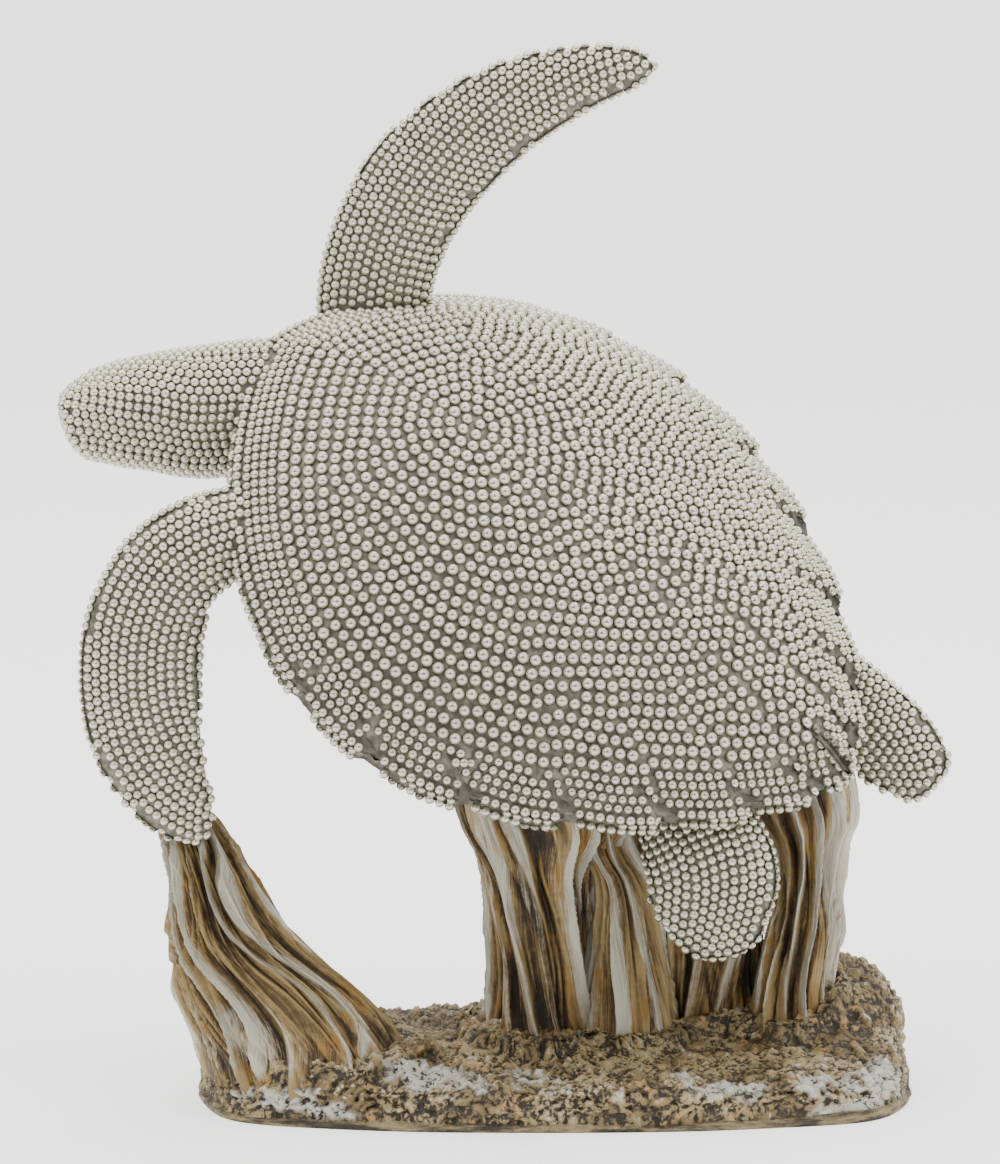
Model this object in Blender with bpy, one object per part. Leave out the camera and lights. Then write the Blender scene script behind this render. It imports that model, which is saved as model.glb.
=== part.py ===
"""Cast resin figurine: a beaded sea turtle that swims up over kelp stalks on a rock.

Metres, +Z up, +X to the viewer's right, +Y away from the viewer. The origin is the middle of the
rock's underside. The turtle has a frame of its own, forward, left and up, and its limbs are set
out in it as shares of the shell's length. The stalks run from feet on the rock to heads in that frame.
"""
import math

import bpy
import bmesh
from mathutils import Matrix, Vector

# Shell
SHELL_LENGTH = 0.190
SHELL_HALF_WIDTH = 0.081
DOME_HEIGHT = 0.024
SIDE_DROOP = 0.0085
RIM_THICKNESS = 0.0045
BELLY_DEPTH = 0.015
BELLY_INSET = 0.010
SCUTE_STEP = 0.0022
SCUTES = 24

# Where the shell's centre hangs over the rock, and how the turtle is turned
SHELL_RIGHT = 0.001
SHELL_BACK = 0.003
SHELL_HEIGHT = 0.1415
PITCH = math.radians(35.0)
HEADING = math.radians(13.0)
BANK = math.radians(39.0)

# Rock
ROCK_LENGTH = 0.185
ROCK_DEPTH = 0.094
ROCK_FRONT_HEIGHT = 0.013
ROCK_BACK_HEIGHT = 0.015
MOUND_HEIGHT = 0.019
LIP_HEIGHT = 0.005
LIP_REACH = 0.0015
RIPPLE_HEIGHT = 0.0012

# The mound's middle and its spread to the right and to the back, as shares of the rock's size
MOUND_RIGHT = 0.43
MOUND_BACK = 0.22
MOUND_SPREAD_RIGHT = 0.11
MOUND_SPREAD_BACK = 0.24

# Stalks
FLUTE_DEPTH = 0.0014
FOOT_SUNK = 0.006
CLEARANCE = 0.0004

# Shell shape: the middle of the widest part and of the rings, as shares of the half length
WIDEST_AT = 0.05
APEX_AT = 0.38
FRONT_POWER = 2.2
REAR_POWER = 1.7
OUTLINE_POWER = 0.714
DOME_POWER = 0.75
BELLY_POWER = 0.6

# The share of a limb's length over which its ends round off, and the step that finds its direction
END_SHARE = 0.10
TANGENT_STEP = 0.01

# Faces
AROUND_SHELL = SCUTES * 4
AROUND_LIMB = 16
AROUND_HEAD = 16
AROUND_ROCK = 40
AROUND_HEART = 14
PER_FLUTE = 3

# Limb stations from root to tip: forward, left, up, half width, half thickness, in shell lengths
HEAD = [
    (0.300, -0.020, -0.030, 0.080, 0.075),
    (0.425, 0.025, -0.055, 0.095, 0.080),
    (0.520, 0.105, -0.085, 0.094, 0.078),
    (0.572, 0.147, -0.097, 0.083, 0.070),
    (0.612, 0.181, -0.112, 0.073, 0.062),
    (0.636, 0.210, -0.125, 0.058, 0.050),
    (0.652, 0.230, -0.138, 0.040, 0.036),
]
FORE_RIGHT = [
    (0.350, -0.110, -0.060, 0.070, 0.034),
    (0.425, -0.158, 0.000, 0.080, 0.034),
    (0.462, -0.215, 0.085, 0.082, 0.030),
    (0.464, -0.282, 0.180, 0.080, 0.026),
    (0.424, -0.356, 0.285, 0.067, 0.021),
    (0.354, -0.419, 0.371, 0.045, 0.017),
    (0.285, -0.460, 0.420, 0.022, 0.013),
]
FORE_LEFT = [
    (0.280, 0.180, -0.030, 0.055, 0.036),
    (0.360, 0.260, -0.045, 0.065, 0.034),
    (0.399, 0.334, -0.090, 0.074, 0.030),
    (0.380, 0.405, -0.150, 0.084, 0.027),
    (0.318, 0.467, -0.222, 0.083, 0.023),
    (0.243, 0.501, -0.272, 0.068, 0.018),
    (0.146, 0.515, -0.317, 0.030, 0.013),
]
HIND_RIGHT = [
    (-0.300, -0.150, -0.045, 0.050, 0.032),
    (-0.410, -0.149, -0.060, 0.061, 0.030),
    (-0.478, -0.147, -0.072, 0.066, 0.026),
    (-0.536, -0.143, -0.080, 0.063, 0.021),
    (-0.605, -0.138, -0.085, 0.042, 0.014),
]
HIND_LEFT = [
    (-0.290, 0.110, -0.060, 0.055, 0.030),
    (-0.378, 0.168, -0.078, 0.082, 0.030),
    (-0.428, 0.205, -0.090, 0.093, 0.027),
    (-0.471, 0.237, -0.115, 0.082, 0.021),
    (-0.522, 0.262, -0.150, 0.040, 0.014),
]
# The way that the blades' broad faces look, in the turtle's frame
BLADE_FACING = (-0.10, 0.60, 0.80)


class Stalk:
    """A fluted stalk from a foot on the rock to a head under the turtle.

    The foot is right and back of the origin in rock lengths, and the head is a point of the
    turtle's frame in shell lengths. A station is the share of the way up, then how far the middle
    is to the right and to the back of the straight line, the half width and the half depth, in
    rock lengths.
    The heart has no flutes: it closes the pockets between its neighbours and shows nowhere.
    """

    def __init__(self, name, foot, head, stations, flutes, twist):
        self.name = name
        self.foot = foot
        self.head = head
        self.stations = stations
        self.flutes = flutes
        self.twist = twist


STALKS = [
    Stalk("left", (-0.346, -0.092), (0.188, 0.464, -0.346), [
        (0.00, 0.000, 0.000, 0.143, 0.135),
        (0.14, 0.011, 0.000, 0.146, 0.130),
        (0.34, -0.005, 0.005, 0.130, 0.103),
        (0.52, -0.022, 0.005, 0.095, 0.081),
        (0.70, -0.016, 0.000, 0.070, 0.065),
        (0.86, -0.005, -0.005, 0.057, 0.054),
        (0.96, 0.000, 0.000, 0.048, 0.049),
        (1.00, 0.000, 0.000, 0.030, 0.027),
    ], 12, 0.7),
    Stalk("middle", (-0.030, 0.038), (-0.034, 0.028, -0.042), [
        (0.00, 0.000, 0.000, 0.092, 0.097),
        (0.07, 0.005, 0.005, 0.077, 0.086),
        (0.19, 0.011, 0.011, 0.072, 0.076),
        (0.31, 0.005, 0.011, 0.077, 0.076),
        (0.42, -0.005, 0.005, 0.089, 0.081),
        (0.52, 0.000, 0.000, 0.130, 0.092),
        (0.66, 0.005, 0.000, 0.143, 0.097),
        (1.00, 0.000, 0.000, 0.130, 0.086),
    ], 12, -0.8),
    Stalk("leaf", (0.119, 0.027), (-0.083, 0.033, -0.060), [
        (0.00, 0.000, 0.000, 0.073, 0.076),
        (0.14, 0.005, 0.005, 0.064, 0.065),
        (0.28, 0.011, 0.005, 0.049, 0.054),
        (0.41, 0.011, 0.000, 0.038, 0.049),
        (0.55, -0.011, 0.000, 0.035, 0.049),
        (1.00, 0.000, 0.000, 0.043, 0.043),
    ], 7, 0.4),
    Stalk("back", (0.216, 0.108), (-0.151, -0.144, -0.043), [
        (0.00, 0.000, 0.000, 0.108, 0.076),
        (0.40, 0.000, 0.000, 0.100, 0.065),
        (0.70, 0.000, 0.000, 0.114, 0.070),
        (1.00, 0.000, 0.000, 0.108, 0.065),
    ], 7, 0.5),
    Stalk("right", (0.343, 0.049), (-0.320, -0.110, -0.045), [
        (0.00, 0.000, 0.000, 0.065, 0.076),
        (0.12, 0.011, 0.000, 0.059, 0.065),
        (0.26, 0.027, 0.000, 0.058, 0.059),
        (0.38, 0.032, 0.000, 0.049, 0.054),
        (0.50, 0.032, 0.000, 0.054, 0.059),
        (0.62, 0.027, 0.000, 0.076, 0.070),
        (1.00, 0.000, 0.000, 0.070, 0.065),
    ], 9, -0.4),
    Stalk("heart", (0.108, 0.065), (-0.090, -0.010, -0.050), [
        (0.00, 0.000, 0.000, 0.114, 0.043),
        (0.30, -0.005, 0.000, 0.092, 0.038),
        (0.50, -0.011, 0.000, 0.086, 0.038),
        (1.00, 0.000, 0.000, 0.108, 0.043),
    ], 0, 0.0),
]


def clear_scene():
    for obj in list(bpy.data.objects):
        bpy.data.objects.remove(obj, do_unlink=True)


def new_collection(name):
    collection = bpy.data.collections.new(name)
    bpy.context.scene.collection.children.link(collection)
    return collection


def resin(name, colour, roughness, metallic):
    material = bpy.data.materials.new(name)
    material.use_nodes = True
    shader = material.node_tree.nodes["Principled BSDF"]
    shader.inputs["Base Color"].default_value = (*colour, 1.0)
    shader.inputs["Roughness"].default_value = roughness
    shader.inputs["Metallic"].default_value = metallic
    return material


def smooth(share):
    """0 below 0, 1 above 1, and an even curve between."""
    share = max(0.0, min(1.0, share))
    return share * share * (3.0 - 2.0 * share)


def through(stations, share):
    """The values at a share of the way along, on a smooth curve through the stations."""
    place = share * (len(stations) - 1)
    first = min(int(place), len(stations) - 2)
    t = place - first
    before = stations[max(first - 1, 0)]
    start = stations[first]
    end = stations[first + 1]
    after = stations[min(first + 2, len(stations) - 1)]
    values = []
    for p0, p1, p2, p3 in zip(before, start, end, after):
        linear = p2 - p0
        square = 2.0 * p0 - 5.0 * p1 + 4.0 * p2 - p3
        cube = 3.0 * p1 - p0 - 3.0 * p2 + p3
        values.append(0.5 * (2.0 * p1 + linear * t + square * t * t + cube * t * t * t))
    return values


def wrapped_sphere(name, around, along, place, grow=0.0):
    """A closed mesh: a sphere whose points go where place(share from pole to pole, angle) says."""
    mesh = bpy.data.meshes.new(name)
    form = bmesh.new()
    bmesh.ops.create_uvsphere(form, u_segments=around, v_segments=along, radius=1.0)
    for point in form.verts:
        share = math.acos(max(-1.0, min(1.0, point.co.z))) / math.pi
        angle = math.atan2(point.co.y, point.co.x) % math.tau
        point.co = place(share, angle)
    if form.calc_volume(signed=True) < 0.0:
        bmesh.ops.reverse_faces(form, faces=form.faces)
    form.normal_update()
    if grow:
        for point in form.verts:
            point.co += point.normal * grow
    bmesh.ops.triangulate(form, faces=form.faces)
    form.to_mesh(mesh)
    form.free()
    mesh.shade_smooth()
    return mesh


def turtle_frame():
    """The turtle's forward, left and up axes and the shell's centre, as one matrix."""
    forward = Vector((-math.cos(PITCH) * math.cos(HEADING), math.cos(PITCH) * math.sin(HEADING),
                      math.sin(PITCH)))
    level_up = (Vector((0.0, 0.0, 1.0)) - forward * forward.z).normalized()
    level_left = level_up.cross(forward)
    up = math.cos(BANK) * level_up + math.sin(BANK) * level_left
    left = up.cross(forward)
    turn = Matrix((forward, left, up)).transposed().to_4x4()
    return Matrix.Translation((SHELL_RIGHT, SHELL_BACK, SHELL_HEIGHT)) @ turn


def shell_outline(angle):
    """A point of the shell's outline, forward and left, at an angle from the front."""
    half_length = SHELL_LENGTH / 2.0
    x = math.cos(angle)
    if x >= 0.0:
        forward = WIDEST_AT + (1.0 - WIDEST_AT) * x
        power = FRONT_POWER
    else:
        forward = WIDEST_AT + (1.0 + WIDEST_AT) * x
        power = REAR_POWER
    left = math.copysign((1.0 - abs(x) ** power) ** OUTLINE_POWER, math.sin(angle))
    return Vector((forward * half_length, left * SHELL_HALF_WIDTH))


def scute_edge(angle):
    """How far the rim stands out at an angle: each scute's rear corner stands out the most."""
    half_turn = min(angle, math.tau - angle)
    along_scute = (half_turn / math.tau * SCUTES) % 1.0
    return SCUTE_STEP * smooth(half_turn / math.pi * 2.5 - 0.6) * (smooth(along_scute * 1.4) - 0.5)


def shell_point(ring, angle):
    """A point of the shell on a ring, which is a share of the outline and a height over it."""
    reach, height, edge = ring
    outline = shell_outline(angle)
    apex = Vector((APEX_AT * SHELL_LENGTH / 2.0, 0.0))
    outward = outline.normalized() * scute_edge(angle) * edge
    flat = apex + (outline - apex) * reach + outward
    droop = SIDE_DROOP * (outline.y / SHELL_HALF_WIDTH * reach) ** 2
    return Vector((flat.x, flat.y, height - droop))


def shell_rings():
    """The shell's rings from the apex over the rim to the middle of the belly."""
    rings = []
    for reach in (0.0, 0.18, 0.36, 0.53, 0.68, 0.80, 0.89, 0.955):
        rings.append((reach, DOME_HEIGHT * (1.0 - reach ** 2) ** DOME_POWER, reach ** 8))
    rings.append((1.0, 0.0, 1.0))
    rings.append((0.995, -RIM_THICKNESS, 1.0))
    inner = 1.0 - BELLY_INSET / SHELL_HALF_WIDTH
    rings.append((inner, -RIM_THICKNESS, 0.0))
    for share in (0.93, 0.7, 0.4, 0.0):
        depth = RIM_THICKNESS + BELLY_DEPTH * (1.0 - share ** 2) ** BELLY_POWER
        rings.append((inner * share, -depth, 0.0))
    return rings


def shell_mesh(grow=0.0):
    rings = shell_rings()
    steps = len(rings) - 1

    def place(share, angle):
        return shell_point(rings[round(share * steps)], angle)

    return wrapped_sphere("shell", AROUND_SHELL, steps, place, grow)


def rounded_end(share):
    """The width of a rounded end: 0 at the end itself and 1 from END_SHARE on."""
    inward = 1.0 - min(1.0, max(0.0, share / END_SHARE))
    return math.sqrt(1.0 - inward * inward)


def limb_mesh(name, stations, around, grow=0.0):
    """A limb of oval section through its stations, with rounded ends and its blade facing out."""
    along = 2 * len(stations) + 2
    facing = Vector(BLADE_FACING).normalized()

    def place(share, angle):
        way = 0.5 - 0.5 * math.cos(share * math.pi)
        here = through(stations, way)
        ahead = Vector(through(stations, min(way + TANGENT_STEP, 1.0))[:3])
        behind = Vector(through(stations, max(way - TANGENT_STEP, 0.0))[:3])
        tangent = (ahead - behind).normalized()
        across = facing.cross(tangent).normalized()
        thick = tangent.cross(across)
        ends = rounded_end(way) * rounded_end(1.0 - way)
        width = across * (here[3] * ends * math.cos(angle))
        thickness = thick * (here[4] * ends * math.sin(angle))
        return (Vector(here[:3]) + width + thickness) * SHELL_LENGTH

    return wrapped_sphere(name, around, along, place, grow)


def turtle_forms(grow=0.0):
    """The turtle's forms in its own frame, the shell first."""
    return [
        shell_mesh(grow),
        limb_mesh("head", HEAD, AROUND_HEAD, grow),
        limb_mesh("fore_right", FORE_RIGHT, AROUND_LIMB, grow),
        limb_mesh("fore_left", FORE_LEFT, AROUND_LIMB, grow),
        limb_mesh("hind_right", HIND_RIGHT, AROUND_LIMB, grow),
        limb_mesh("hind_left", HIND_LEFT, AROUND_LIMB, grow),
    ]


def rock_top(x, y):
    """The rock's height at a place: it rises to the back, with a mound behind the right end."""
    back_share = smooth((y + ROCK_DEPTH / 2.0) / ROCK_DEPTH)
    height = ROCK_FRONT_HEIGHT + (ROCK_BACK_HEIGHT - ROCK_FRONT_HEIGHT) * back_share
    to_right = (x / ROCK_LENGTH - MOUND_RIGHT) / MOUND_SPREAD_RIGHT
    to_back = (y / ROCK_DEPTH - MOUND_BACK) / MOUND_SPREAD_BACK
    height += MOUND_HEIGHT * math.exp(-(to_right ** 2) - to_back ** 2)
    ripples = math.sin(x / ROCK_LENGTH * 39.0 + 1.3) * math.sin(y / ROCK_DEPTH * 24.0 + 0.4)
    return height + RIPPLE_HEIGHT * ripples


def rock_outline(angle):
    """The rock's outline: a long oval with blunt ends and a slightly wavy edge."""
    wave = 1.0 + 0.018 * math.sin(3.0 * angle + 0.5) + 0.012 * math.sin(7.0 * angle)
    x = math.copysign(abs(math.cos(angle)) ** 0.62, math.cos(angle))
    y = math.copysign(abs(math.sin(angle)) ** 0.50, math.sin(angle))
    return Vector((x * ROCK_LENGTH / 2.0 * wave, y * ROCK_DEPTH / 2.0 * wave))


def rock_mesh():
    """The rock: its top in rings, its side, the lip along its foot and the flat underside."""
    top = (0.0, 0.2, 0.4, 0.58, 0.74, 0.86, 0.94)
    steps = len(top) + 4

    def place(share, angle):
        ring = round(share * steps)
        edge = rock_outline(angle)
        lip = edge + edge.normalized() * LIP_REACH
        if ring < len(top):
            flat = edge * top[ring]
            rounding = 0.75 + 0.25 * math.sqrt(1.0 - top[ring] ** 6)
            return Vector((flat.x, flat.y, rock_top(flat.x, flat.y) * rounding))
        shoulder = LIP_HEIGHT + (rock_top(edge.x, edge.y) - LIP_HEIGHT) * 0.45
        side = [
            Vector((edge.x, edge.y, shoulder)),
            Vector((edge.x, edge.y, LIP_HEIGHT)),
            Vector((lip.x, lip.y, LIP_HEIGHT * 0.8)),
            Vector((lip.x, lip.y, 0.0)),
            Vector((0.0, 0.0, 0.0)),
        ]
        return side[ring - len(top)]

    return wrapped_sphere("rock", AROUND_ROCK, steps, place)


def stalk_mesh(stalk, frame):
    """A fluted stalk whose flutes turn about it as it rises."""
    foot = Vector((stalk.foot[0], stalk.foot[1], 0.0)) * ROCK_LENGTH
    foot.z = rock_top(foot.x, foot.y) - FOOT_SUNK
    head = frame @ (Vector(stalk.head) * SHELL_LENGTH)
    along = len(stalk.stations) + 4

    def place(share, angle):
        ring = round(share * along)
        up_share = max(0.0, min(1.0, 1.0 - (ring - 1) / (along - 2)))
        way, *shares = through(stalk.stations, up_share)
        to_right, to_back, half_width, half_depth = (share * ROCK_LENGTH for share in shares)
        middle = foot.lerp(head, way) + Vector((to_right, to_back, 0.0))
        if ring in (0, along):
            return middle
        flute = FLUTE_DEPTH * math.cos(stalk.flutes * angle)
        turned = angle + stalk.twist * way
        x = (half_width + flute) * math.cos(turned)
        y = (half_depth + flute) * math.sin(turned)
        return middle + Vector((x, y, 0.0))

    around = stalk.flutes * PER_FLUTE or AROUND_HEART
    return wrapped_sphere("stalk_" + stalk.name, around, along, place)


def put(mesh, collection, frame, name=None):
    obj = bpy.data.objects.new(name or mesh.name, mesh)
    obj.matrix_world = frame
    collection.objects.link(obj)
    return obj


def guide(mesh, collection, frame, name=None):
    """A form that only joins or cuts another piece."""
    obj = put(mesh, collection, frame, name)
    obj.hide_render = True
    obj.display_type = 'WIRE'
    return obj


def combine(obj, other, operation):
    modifier = obj.modifiers.new(operation.lower() + "_" + other.name, 'BOOLEAN')
    modifier.object = other
    modifier.operation = operation
    modifier.solver = 'EXACT'


def make_turtle(parts, guides, frame):
    forms = turtle_forms()
    turtle = put(forms[0], parts, frame, "turtle")
    for mesh in forms[1:]:
        combine(turtle, guide(mesh, guides, frame), 'UNION')
    turtle.data.materials.append(resin("beaded_silver", (0.56, 0.54, 0.48), 0.32, 0.85))
    return turtle


def make_base(parts, guides, frame):
    upright = Matrix.Identity(4)
    base = put(rock_mesh(), parts, upright, "kelp_base")
    for stalk in STALKS:
        combine(base, guide(stalk_mesh(stalk, frame), guides, upright), 'UNION')
    for mesh in turtle_forms(CLEARANCE):
        clear = guide(mesh, guides, frame, "clear_of_" + mesh.name.split(".")[0])
        combine(base, clear, 'DIFFERENCE')
    base.data.materials.append(resin("antique_champagne", (0.30, 0.25, 0.19), 0.50, 0.35))
    return base


def main():
    clear_scene()
    parts = new_collection("turtle_figurine")
    guides = new_collection("guides")
    frame = turtle_frame()
    make_turtle(parts, guides, frame)
    make_base(parts, guides, frame)


main()
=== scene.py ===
"""Looks of the cast resin turtle figurine: its beads, antique wash, kelp stalks and rock.

Metres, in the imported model's frame: +Z up, +X to the viewer's right and the viewer at -Y. The
turtle's forms, the stalks and the rock repeat the solids' own formulas with more points, and they
carry the relief that is too fine for the solids: cast beads, ridged kelp and crusty rock.
"""
import math
from collections import namedtuple

import bpy
import numpy as np
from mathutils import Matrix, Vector, noise
from mathutils.bvhtree import BVHTree
from mathutils.kdtree import KDTree


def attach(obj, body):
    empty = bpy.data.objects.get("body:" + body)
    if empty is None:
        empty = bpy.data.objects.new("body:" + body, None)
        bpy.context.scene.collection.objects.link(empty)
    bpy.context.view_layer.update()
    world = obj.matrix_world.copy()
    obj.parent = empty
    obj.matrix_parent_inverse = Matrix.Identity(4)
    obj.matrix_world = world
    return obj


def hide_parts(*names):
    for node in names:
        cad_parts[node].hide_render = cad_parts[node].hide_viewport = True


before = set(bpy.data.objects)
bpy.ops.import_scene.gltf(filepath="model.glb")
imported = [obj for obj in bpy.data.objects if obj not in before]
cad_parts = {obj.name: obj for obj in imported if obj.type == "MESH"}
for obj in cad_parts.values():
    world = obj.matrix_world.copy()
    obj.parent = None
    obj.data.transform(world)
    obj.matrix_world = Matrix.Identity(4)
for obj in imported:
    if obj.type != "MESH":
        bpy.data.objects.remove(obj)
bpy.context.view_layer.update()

# The shell, as the solids have it
SHELL_LENGTH = 0.190
SHELL_HALF_WIDTH = 0.081
DOME_HEIGHT = 0.024
SIDE_DROOP = 0.0085
RIM_THICKNESS = 0.0045
BELLY_DEPTH = 0.015
BELLY_INSET = 0.010
SCUTE_STEP = 0.0022
SCUTES = 24
SHELL_CENTRE = (0.001, 0.003, 0.1415)
PITCH = math.radians(35.0)
HEADING = math.radians(13.0)
BANK = math.radians(39.0)
WIDEST_AT = 0.05
APEX_AT = 0.38
FRONT_POWER = 2.2
REAR_POWER = 1.7
OUTLINE_POWER = 0.714
DOME_POWER = 0.75
BELLY_POWER = 0.6

# The rock, as the solids have it
ROCK_LENGTH = 0.185
ROCK_DEPTH = 0.094
ROCK_FRONT_HEIGHT = 0.013
ROCK_BACK_HEIGHT = 0.015
MOUND_HEIGHT = 0.019
LIP_HEIGHT = 0.005
LIP_REACH = 0.0015
MOUND_RIGHT = 0.43
MOUND_BACK = 0.22
MOUND_SPREAD_RIGHT = 0.11
MOUND_SPREAD_BACK = 0.24
FOOT_SUNK = 0.006

# Limb stations, as the solids have them: forward, left, up, half width, half thickness
END_SHARE = 0.10
TANGENT_STEP = 0.01
BLADE_FACING = (-0.10, 0.60, 0.80)
HEAD = [
    (0.300, -0.020, -0.030, 0.080, 0.075),
    (0.425, 0.025, -0.055, 0.095, 0.080),
    (0.520, 0.105, -0.085, 0.094, 0.078),
    (0.572, 0.147, -0.097, 0.083, 0.070),
    (0.612, 0.181, -0.112, 0.073, 0.062),
    (0.636, 0.210, -0.125, 0.058, 0.050),
    (0.652, 0.230, -0.138, 0.040, 0.036),
]
FORE_RIGHT = [
    (0.350, -0.110, -0.060, 0.070, 0.034),
    (0.425, -0.158, 0.000, 0.080, 0.034),
    (0.462, -0.215, 0.085, 0.082, 0.030),
    (0.464, -0.282, 0.180, 0.080, 0.026),
    (0.424, -0.356, 0.285, 0.067, 0.021),
    (0.354, -0.419, 0.371, 0.045, 0.017),
    (0.285, -0.460, 0.420, 0.022, 0.013),
]
FORE_LEFT = [
    (0.280, 0.180, -0.030, 0.055, 0.036),
    (0.360, 0.260, -0.045, 0.065, 0.034),
    (0.399, 0.334, -0.090, 0.074, 0.030),
    (0.380, 0.405, -0.150, 0.084, 0.027),
    (0.318, 0.467, -0.222, 0.083, 0.023),
    (0.243, 0.501, -0.272, 0.068, 0.018),
    (0.146, 0.515, -0.317, 0.030, 0.013),
]
HIND_RIGHT = [
    (-0.300, -0.150, -0.045, 0.050, 0.032),
    (-0.410, -0.149, -0.060, 0.061, 0.030),
    (-0.478, -0.147, -0.072, 0.066, 0.026),
    (-0.536, -0.143, -0.080, 0.063, 0.021),
    (-0.605, -0.138, -0.085, 0.042, 0.014),
]
HIND_LEFT = [
    (-0.290, 0.110, -0.060, 0.055, 0.030),
    (-0.378, 0.168, -0.078, 0.082, 0.030),
    (-0.428, 0.205, -0.090, 0.093, 0.027),
    (-0.471, 0.237, -0.115, 0.082, 0.021),
    (-0.522, 0.262, -0.150, 0.040, 0.014),
]

# Beads: each kind's radius and its pitch along the rows, and the pitch from row to row
SHELL_BEAD = 0.00170
SHELL_PITCH = 0.00344
SHELL_ROW_PITCH = 0.00374
RIM_BEAD = 0.00133
RIM_PITCH = 0.00266
RIM_ROWS = 5
LIMB_BEAD = 0.00131
LIMB_PITCH = 0.00248
LIMB_ROW_PITCH = 0.00254
BEAD_LIFT = 0.10
BEAD_SIDES = 12
SHELL_SKIN_DEPTH = 0.0017
HEAD_SKIN_DEPTH = 0.0015
FLIPPER_SKIN_DEPTH = 0.0012
SHELL_CLEAR = 0.0008
EDGE_CLEAR = 0.0002

# From how far beads push each other, and how far a hole's middle is from all beads, in pitches
PUSH_REACH = 1.08
LIMB_PUSH_REACH = 1.08
SPREAD_PASSES = 7
SHELL_HOLE = 0.92
LIMB_HOLE = 0.80

# The slits between the marginal scutes: how far in they start, their width at the edge, their slant,
# and from which angle on the right side has them
SLIT_LENGTH = 0.0120
SLIT_WIDTH = 0.0052
SLIT_SLANT = 0.0075
RIGHT_SLITS_FROM = 2.0
SCUTE_LIFT = 0.0009


def unit(vectors):
    return vectors / np.maximum(np.linalg.norm(vectors, axis=-1, keepdims=True), 1e-12)


def smooth(share):
    """0 below 0, 1 above 1, and an even curve between."""
    share = np.clip(share, 0.0, 1.0)
    return share * share * (3.0 - 2.0 * share)


def through(stations, share):
    """The values at shares of the way along, on a smooth curve through the stations."""
    table = np.array(stations)
    place = np.clip(share, 0.0, 1.0) * (len(table) - 1)
    first = np.minimum(place.astype(int), len(table) - 2)
    t = (place - first)[..., None]
    p0 = table[np.maximum(first - 1, 0)]
    p1 = table[first]
    p2 = table[first + 1]
    p3 = table[np.minimum(first + 2, len(table) - 1)]
    square = 2.0 * p0 - 5.0 * p1 + 4.0 * p2 - p3
    cube = 3.0 * p1 - p0 - 3.0 * p2 + p3
    return 0.5 * (2.0 * p1 + (p2 - p0) * t + square * t ** 2 + cube * t ** 3)


def turtle_axes():
    """The turtle's forward, left and up, as the columns of a matrix."""
    forward = np.array([-math.cos(PITCH) * math.cos(HEADING),
                        math.cos(PITCH) * math.sin(HEADING), math.sin(PITCH)])
    level_up = unit(np.array([0.0, 0.0, 1.0]) - forward * forward[2])
    level_left = np.cross(level_up, forward)
    up = math.cos(BANK) * level_up + math.sin(BANK) * level_left
    return np.stack([forward, np.cross(up, forward), up], axis=1)


TURTLE_AXES = turtle_axes()


def in_world(local):
    return local @ TURTLE_AXES.T + np.array(SHELL_CENTRE)


def grid_normals(rings):
    """Outward normals of a closed form that is given as rings of points."""
    along = np.gradient(rings, axis=0)
    around = np.roll(rings, -1, axis=1) - np.roll(rings, 1, axis=1)
    normals = np.cross(around, along)
    middle = rings.reshape(-1, 3).mean(axis=0)
    if np.sum((rings - middle) * normals) < 0.0:
        normals = -normals
    return unit(normals)


def make_piece(name, points, faces, material, node):
    """A mesh object that rides on the body, with the given material, in place of the node's solid, which
    it hides.
    """
    mesh = bpy.data.meshes.new(name)
    mesh.from_pydata(points, [], faces)
    mesh.shade_smooth()
    mesh.materials.append(material)
    obj = bpy.data.objects.new(name, mesh)
    bpy.context.scene.collection.objects.link(obj)
    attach(obj, "root")
    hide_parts(node)
    return obj


def ring_faces(count, around, start=0):
    """Faces between rings of points, closed by a fan to a point before them and one after."""
    first = start
    last = start + 1 + count * around
    faces = []
    for step in range(around):
        after = (step + 1) % around
        faces.append((first, first + 1 + after, first + 1 + step))
        end = last - around
        faces.append((last, end + step, end + after))
    for ring in range(count - 1):
        base = start + 1 + ring * around
        for step in range(around):
            after = (step + 1) % around
            faces.append((base + step, base + after, base + around + after, base + around + step))
    return faces


def closed_form(rings):
    """Points and outward faces of a form given as rings, with a point at the middle of each end."""
    count, around = rings.shape[:2]
    ends = rings[0].mean(axis=0), rings[-1].mean(axis=0)
    points = np.concatenate([ends[:1], rings.reshape(-1, 3), ends[1:]])
    faces = ring_faces(count, around)
    along = np.gradient(rings, axis=0)
    turn = np.roll(rings, -1, axis=1) - np.roll(rings, 1, axis=1)
    middle = points.mean(axis=0)
    if np.sum((rings - middle) * np.cross(turn, along)) < 0.0:
        faces = [face[::-1] for face in faces]
    return points, faces


def add_values(mesh, name, values):
    """A value for each point, which materials read by its name."""
    attribute = mesh.attributes.new(name, 'FLOAT', 'POINT')
    attribute.data.foreach_set("value", np.asarray(values, dtype=np.float32).ravel())


def with_ends(values):
    """A ring grid's values with those of the two end points."""
    return np.concatenate([[values[0].mean()], values.ravel(), [values[-1].mean()]])


# Shell

def shell_outline(angle):
    """Points of the shell's outline, forward and left, at angles from the front."""
    half_length = SHELL_LENGTH / 2.0
    x = np.cos(angle)
    ahead = x >= 0.0
    forward = WIDEST_AT + np.where(ahead, 1.0 - WIDEST_AT, 1.0 + WIDEST_AT) * x
    power = np.where(ahead, FRONT_POWER, REAR_POWER)
    left = np.maximum(1.0 - np.abs(x) ** power, 0.0) ** OUTLINE_POWER * np.sign(np.sin(angle))
    return np.stack([forward * half_length, left * SHELL_HALF_WIDTH], axis=-1)


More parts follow.
